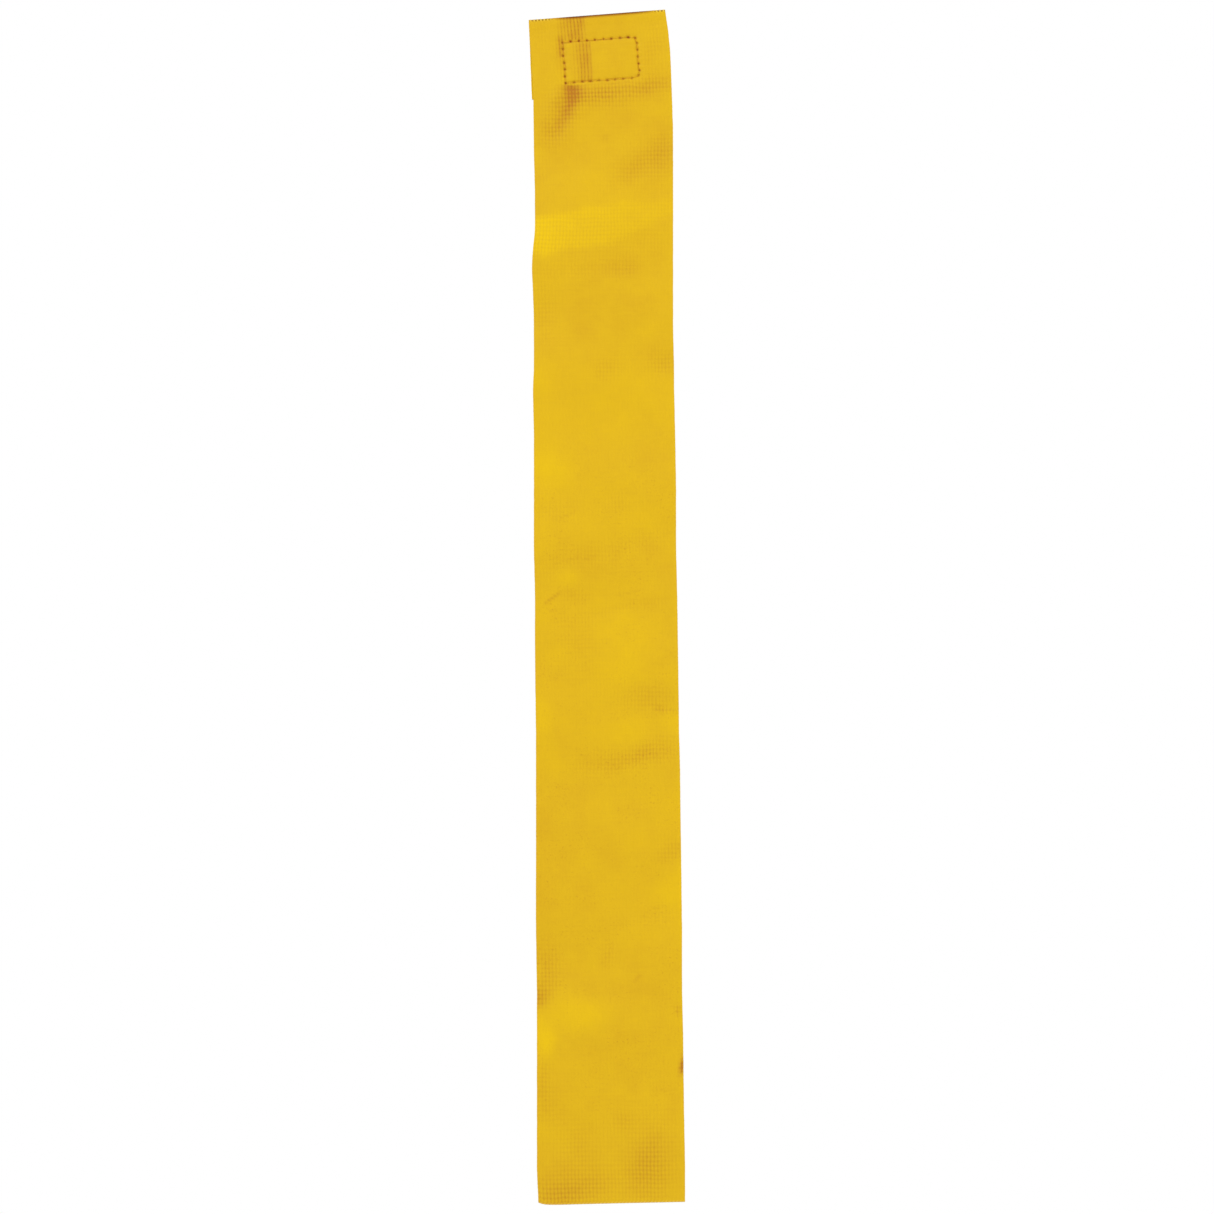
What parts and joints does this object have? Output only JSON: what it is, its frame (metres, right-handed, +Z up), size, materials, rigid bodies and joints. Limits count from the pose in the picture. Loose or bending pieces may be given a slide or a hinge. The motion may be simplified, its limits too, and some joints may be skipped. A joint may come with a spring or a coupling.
{
  "type": "pull-off marker strip",
  "caption": "Flat strip of coated woven fabric with a turned-back heading and a stitched patch of hook tape behind it, which hangs, bends and twists from the patch.",
  "frame": {"origin": "centre of the hook tape's mating face, where the strip is pressed on", "axes": "+Z up the strip (it hangs towards -Z), +Y out of the hook face (the strip's back), +X to the right seen from the front"},
  "size_m": [0.0523, 0.0032, 0.4338],
  "materials": {
    "coated_fabric": "yellow soft vinyl coat over a plain weave, low sheen",
    "hook_tape": "yellow woven tape backing",
    "hooks": "yellow nylon monofilament hooks",
    "thread": "yellow polyester sewing thread"
  },
  "bodies": {
    "heading": {"strip_heading": "coated_fabric", "hook_tape": "hook_tape", "hook_field": "hooks", "needle_thread": "thread", "bobbin_thread": "thread"},
    "section_1": {"strip_section_1": "coated_fabric"},
    "section_2": {"strip_section_2": "coated_fabric"},
    "section_3": {"strip_section_3": "coated_fabric"},
    "section_4": {"strip_section_4": "coated_fabric"},
    "section_5": {"strip_section_5": "coated_fabric"},
    "section_6": {"strip_section_6": "coated_fabric"},
    "section_7": {"strip_section_7": "coated_fabric"},
    "section_8": {"strip_section_8": "coated_fabric"}
  },
  "joints": [
    {"name": "flex_1", "type": "hinge", "parent": "heading", "child": "section_1", "pos_m": [0, -0.00283, -0.02325], "axis": [1, 0, 0], "range_deg": [-90, 90], "stiffness_Nm_per_rad": 0.0004},
    {"name": "flex_2", "type": "hinge", "parent": "section_1", "child": "section_2", "pos_m": [0, -0.00283, -0.07222], "axis": [1, 0, 0], "range_deg": [-60, 60], "stiffness_Nm_per_rad": 0.0004},
    {"name": "twist_3", "type": "hinge", "parent": "section_2", "child": "section_3", "pos_m": [0.00053, -0.00283, -0.1212], "axis": [0, 0, 1], "range_deg": [-45, 45], "stiffness_Nm_per_rad": 0.0004},
    {"name": "flex_4", "type": "hinge", "parent": "section_3", "child": "section_4", "pos_m": [0, -0.00283, -0.17017], "axis": [1, 0, 0], "range_deg": [-60, 60], "stiffness_Nm_per_rad": 0.0004},
    {"name": "twist_5", "type": "hinge", "parent": "section_4", "child": "section_5", "pos_m": [0.00053, -0.00283, -0.21915], "axis": [0, 0, 1], "range_deg": [-45, 45], "stiffness_Nm_per_rad": 0.0004},
    {"name": "flex_6", "type": "hinge", "parent": "section_5", "child": "section_6", "pos_m": [0, -0.00283, -0.26813], "axis": [1, 0, 0], "range_deg": [-60, 60], "stiffness_Nm_per_rad": 0.0004},
    {"name": "twist_7", "type": "hinge", "parent": "section_6", "child": "section_7", "pos_m": [0.00053, -0.00283, -0.3171], "axis": [0, 0, 1], "range_deg": [-45, 45], "stiffness_Nm_per_rad": 0.0004},
    {"name": "flex_8", "type": "hinge", "parent": "section_7", "child": "section_8", "pos_m": [0, -0.00283, -0.36607], "axis": [1, 0, 0], "range_deg": [-60, 60], "stiffness_Nm_per_rad": 0.0004}
  ]
}
